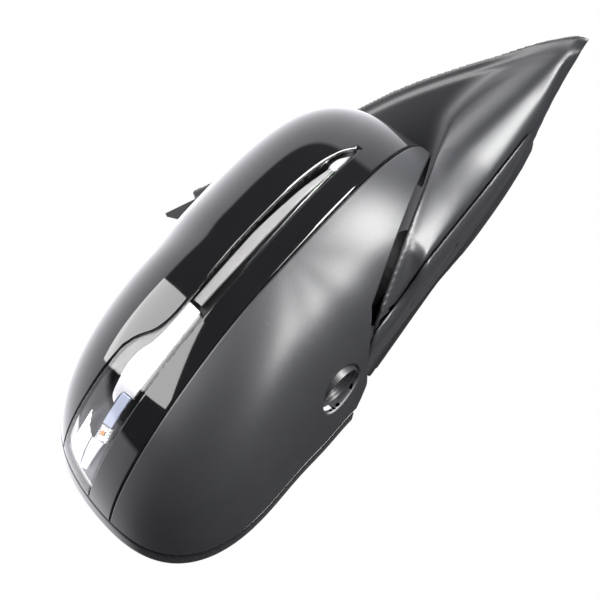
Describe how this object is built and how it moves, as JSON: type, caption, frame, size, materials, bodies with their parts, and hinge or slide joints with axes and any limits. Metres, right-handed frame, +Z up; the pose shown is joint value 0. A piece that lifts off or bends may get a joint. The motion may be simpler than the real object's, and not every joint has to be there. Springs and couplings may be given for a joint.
{
  "type": "car side mirror",
  "caption": "Right-hand folding car door mirror: domed head with indicator strip, lamp and aimed glass, on an arm and triangular sail base.",
  "frame": {"origin": "on the gasket face that lies against the door, square across from the fold axis", "axes": "+X away from the door, +Y towards the front of the car, +Z up"},
  "size_m": [0.3091, 0.2668, 0.1925],
  "materials": {
    "gloss_black": "painted gloss black, mirror smooth",
    "grained_black": "moulded black plastic with a fine grain",
    "frame_black": "smooth satin black moulding",
    "clear_plastic": "clear moulded lens plastic",
    "bright_reflector": "metallised reflector",
    "board_green": "circuit board",
    "silvered_glass": "silvered glass",
    "soft_rubber": "soft black rubber",
    "gear_white": "natural acetal",
    "steel": "bright zinc-plated steel",
    "brass": "turned brass",
    "cast_aluminium": "as-cast aluminium"
  },
  "bodies": {
    "base": {"base_frame": "cast_aluminium", "sail_and_arm_cover": "grained_black", "arm_lower_cover": "grained_black", "access_plug": "grained_black", "door_gasket": "soft_rubber", "mounting_stud_1": "steel", "mounting_stud_2": "steel", "mounting_stud_3": "steel", "cable_grommet": "soft_rubber", "wiring_harness": "soft_rubber", "door_connector": "gear_white", "pivot_shaft": "steel", "detent_ring": "steel", "fold_gear": "steel", "fold_spring": "steel", "spring_cup": "steel", "retaining_clip": "steel"},
    "head": {"upper_cap": "gloss_black", "lower_housing": "grained_black", "rear_bezel": "frame_black", "head_floor": "frame_black", "signal_backing": "frame_black", "puddle_lamp_housing": "frame_black", "actuator_rear_shell": "frame_black", "actuator_front_shell": "frame_black", "head_frame": "frame_black", "fold_housing": "frame_black", "fold_housing_cover": "frame_black", "turn_signal_lens": "clear_plastic", "light_guide": "clear_plastic", "puddle_lamp_lens": "clear_plastic", "signal_reflector": "bright_reflector", "led_board": "board_green", "puddle_lamp_board": "board_green", "actuator_screw_1": "steel", "actuator_screw_2": "steel", "actuator_screw_3": "steel", "pan_motor": "steel", "tilt_motor": "steel", "fold_motor": "steel"},
    "glass_gimbal": {"cardan_ring": "gear_white"},
    "glass": {"mirror_glass": "silvered_glass", "glass_heater": "soft_rubber", "glass_holder": "frame_black"},
    "pan_jack": {"pan_jack_screw": "gear_white"},
    "tilt_jack": {"tilt_jack_screw": "gear_white"},
    "pan_nut_gear": {"pan_gear": "gear_white"},
    "tilt_nut_gear": {"tilt_gear": "gear_white"},
    "pan_drive_worm": {"pan_worm": "brass"},
    "tilt_drive_worm": {"tilt_worm": "brass"},
    "fold_drive_worm": {"fold_worm": "brass"}
  },
  "joints": [
    {"name": "head_fold", "type": "hinge", "parent": "base", "child": "head", "pos_m": [0.1, 0, 0], "axis": [0, 0, 1], "range_deg": [-55, 0]},
    {"name": "glass_pan", "type": "hinge", "parent": "head", "child": "glass_gimbal", "pos_m": [0.13457, -0.06061, 0.01], "axis": [0, 0, 1], "range_deg": [-7.5, 7.5]},
    {"name": "glass_tilt", "type": "hinge", "parent": "glass_gimbal", "child": "glass", "pos_m": [0.13457, -0.06061, 0.01], "axis": [0.8387, -0.5446, 0], "range_deg": [-7.5, 7.5]},
    {"name": "pan_jack_slide", "type": "slide", "parent": "head", "child": "pan_jack", "axis": [0.5446, 0.8387, 0], "range_m": [-0.0032, 0.0032]},
    {"name": "tilt_jack_slide", "type": "slide", "parent": "head", "child": "tilt_jack", "axis": [0.5446, 0.8387, 0], "range_m": [-0.0032, 0.0032]},
    {"name": "pan_gear_spin", "type": "hinge", "parent": "head", "child": "pan_nut_gear", "pos_m": [0.1237, -0.03328, 0.01], "axis": [0.5446, 0.8387, 0], "range_deg": [-142, 142]},
    {"name": "tilt_gear_spin", "type": "hinge", "parent": "head", "child": "tilt_nut_gear", "pos_m": [0.14383, -0.04635, -0.014], "axis": [0.5446, 0.8387, 0], "range_deg": [-142, 142]},
    {"name": "pan_worm_spin", "type": "hinge", "parent": "head", "child": "pan_drive_worm", "pos_m": [0.1237, -0.03328, 0.0228], "axis": [0.8387, -0.5446, 0], "range_deg": [-990, 990]},
    {"name": "tilt_worm_spin", "type": "hinge", "parent": "head", "child": "tilt_drive_worm", "pos_m": [0.15456, -0.05332, -0.014], "axis": [0, 0, 1], "range_deg": [-990, 990]},
    {"name": "fold_worm_spin", "type": "hinge", "parent": "head", "child": "fold_drive_worm", "pos_m": [0.11318, 0.0203, 0.005], "axis": [0.8387, -0.5446, 0], "range_deg": [0, 1100]}
  ],
  "couplings": [
    {"joint": "fold_worm_spin", "follows": "head_fold", "ratio": -20},
    {"joint": "pan_jack_slide", "follows": "glass_pan", "m_per_rad": -0.024},
    {"joint": "tilt_jack_slide", "follows": "glass_tilt", "m_per_rad": 0.024},
    {"joint": "pan_gear_spin", "follows": "glass_pan", "ratio": 18.85},
    {"joint": "tilt_gear_spin", "follows": "glass_tilt", "ratio": -18.85},
    {"joint": "pan_worm_spin", "follows": "glass_pan", "ratio": -131.95},
    {"joint": "tilt_worm_spin", "follows": "glass_tilt", "ratio": -131.95}
  ]
}
